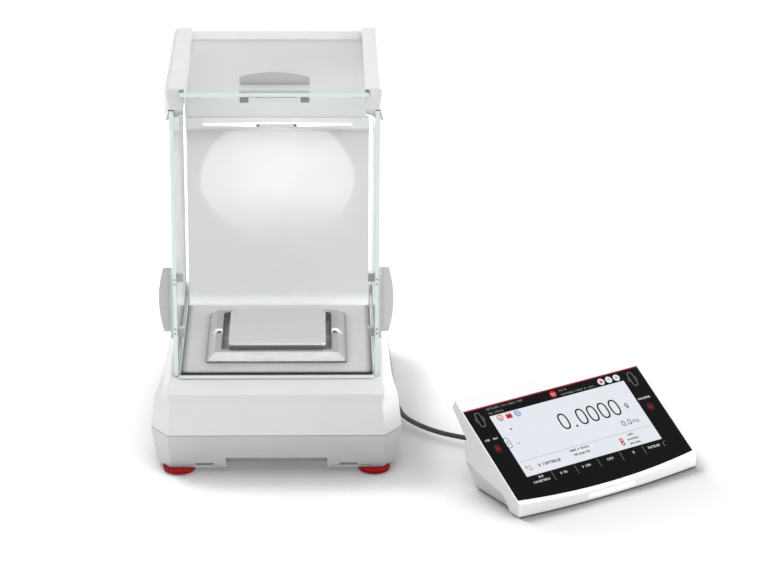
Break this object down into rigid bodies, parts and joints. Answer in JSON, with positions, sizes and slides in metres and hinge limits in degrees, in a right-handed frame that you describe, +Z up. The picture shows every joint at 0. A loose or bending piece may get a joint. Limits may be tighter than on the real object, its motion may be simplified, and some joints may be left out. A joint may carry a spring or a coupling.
{
  "type": "analytical balance",
  "caption": "Analytical balance: glass draft shield with sliding side and top doors on a levelled base, square steel pan, detached sloping touch terminal on a cable.",
  "frame": {"origin": "on the bench, under the middle of the bounding box of the balance and its terminal without the cable", "axes": "+X from the balance towards the terminal, +Y towards the rear of the balance, +Z up"},
  "size_m": [0.5018, 0.4104, 0.3655],
  "materials": {
    "white_shell": "fine satin texture",
    "lower_shell": "fine satin texture",
    "handle_grey": "satin",
    "red_wheel": "semi-gloss",
    "black_rubber": "matt",
    "clear_glass": "polished, faint green edge",
    "stainless": "fine brushed",
    "polished_steel": "polished",
    "cast_aluminium": "bead blasted",
    "magnet_steel": "coated",
    "brass_bush": "turned",
    "circuit_board": "solder mask",
    "screw_steel": "zinc plated",
    "dark_plastic": "matt",
    "port_metal": "nickel plated",
    "light_white": "diffuser",
    "screen_glass": "gloss, printed black behind",
    "lcd_panel": "lit display",
    "sensor_red": "tinted window",
    "bubble_green": "tinted liquid",
    "cable_grey": "matt sheath"
  },
  "bodies": {
    "root": {"cable_gland": "cable_grey", "calibration_motor": "magnet_steel", "chamber_back_wall": "white_shell", "chassis": "cast_aluminium", "display_module": "lcd_panel", "floor_plate": "stainless", "foot_bushes": "brass_bush", "front_glass": "clear_glass", "front_glass_strip": "white_shell", "hand_sensors": "sensor_red", "hook_cover_screw": "screw_steel", "housing_screws": "screw_steel", "left_door_track": "white_shell", "left_rail": "white_shell", "level_body": "dark_plastic", "level_vial": "bubble_green", "light_guide": "light_white", "light_hood": "white_shell", "light_module": "white_shell", "light_screws": "dark_plastic", "load_cell": "cast_aluminium", "lower_housing": "lower_shell", "magnet_system": "magnet_steel", "main_board": "circuit_board", "network_port": "port_metal", "pan_support": "cast_aluminium", "power_jack": "dark_plastic", "rear_feet": "black_rubber", "rear_panel": "dark_plastic", "right_door_track": "white_shell", "right_rail": "white_shell", "serial_port": "port_metal", "status_light": "light_white", "terminal_board": "circuit_board", "terminal_cable": "cable_grey", "terminal_feet": "black_rubber", "terminal_front_housing": "white_shell", "terminal_lower_housing": "lower_shell", "terminal_plug": "cable_grey", "touch_glass": "screen_glass", "tower_board": "circuit_board", "tower_rear_cover": "white_shell", "tower_shell": "white_shell", "upper_housing": "white_shell", "usb_port": "port_metal"},
    "left_door": {"left_door_glass": "clear_glass", "left_door_handle": "handle_grey"},
    "right_door": {"right_door_glass": "clear_glass", "right_door_handle": "handle_grey"},
    "top_door": {"top_door_glass": "clear_glass", "top_door_handle": "handle_grey"},
    "pan": {"weighing_pan": "stainless"},
    "wind_ring": {"draft_ring": "polished_steel"},
    "left_foot": {"left_foot_pad": "black_rubber"},
    "left_wheel": {"left_foot_wheel": "red_wheel"},
    "right_foot": {"right_foot_pad": "black_rubber"},
    "right_wheel": {"right_foot_wheel": "red_wheel"},
    "hook_cover": {"hook_cover": "dark_plastic"},
    "calibration_lift": {"calibration_weights": "polished_steel"}
  },
  "joints": [
    {"name": "left_door_slide", "type": "slide", "parent": "root", "child": "left_door", "axis": [0, 1, 0], "range_m": [0, 0.15]},
    {"name": "right_door_slide", "type": "slide", "parent": "root", "child": "right_door", "axis": [0, 1, 0], "range_m": [0, 0.15]},
    {"name": "top_door_slide", "type": "slide", "parent": "root", "child": "top_door", "axis": [0, 1, 0], "range_m": [0, 0.14]},
    {"name": "pan_lift_off", "type": "slide", "parent": "root", "child": "pan", "axis": [0, 0, 1], "range_m": [0, 0.05]},
    {"name": "ring_lift_off", "type": "slide", "parent": "root", "child": "wind_ring", "axis": [0, 0, 1], "range_m": [0, 0.03]},
    {"name": "hook_cover_swing", "type": "hinge", "parent": "root", "child": "hook_cover", "pos_m": [-0.11386, 0.02571, 0.0034], "axis": [0, 0, 1], "range_deg": [0, 100]},
    {"name": "calibration_weight_travel", "type": "slide", "parent": "root", "child": "calibration_lift", "axis": [0, 0, -1], "range_m": [0, 0.003]},
    {"name": "left_foot_travel", "type": "slide", "parent": "root", "child": "left_foot", "axis": [0, 0, -1], "range_m": [0, 0.006]},
    {"name": "left_wheel_turn", "type": "hinge", "parent": "left_foot", "child": "left_wheel", "pos_m": [-0.22536, -0.09799, 0.0027], "axis": [0, 0, 1], "range_deg": [0, 2160]},
    {"name": "right_foot_travel", "type": "slide", "parent": "root", "child": "right_foot", "axis": [0, 0, -1], "range_m": [0, 0.006]},
    {"name": "right_wheel_turn", "type": "hinge", "parent": "right_foot", "child": "right_wheel", "pos_m": [-0.04636, -0.09799, 0.0027], "axis": [0, 0, 1], "range_deg": [0, 2160]}
  ],
  "couplings": [
    {"joint": "left_wheel_turn", "follows": "left_foot_travel", "rad_per_m": 6283.2},
    {"joint": "right_wheel_turn", "follows": "right_foot_travel", "rad_per_m": 6283.2}
  ]
}
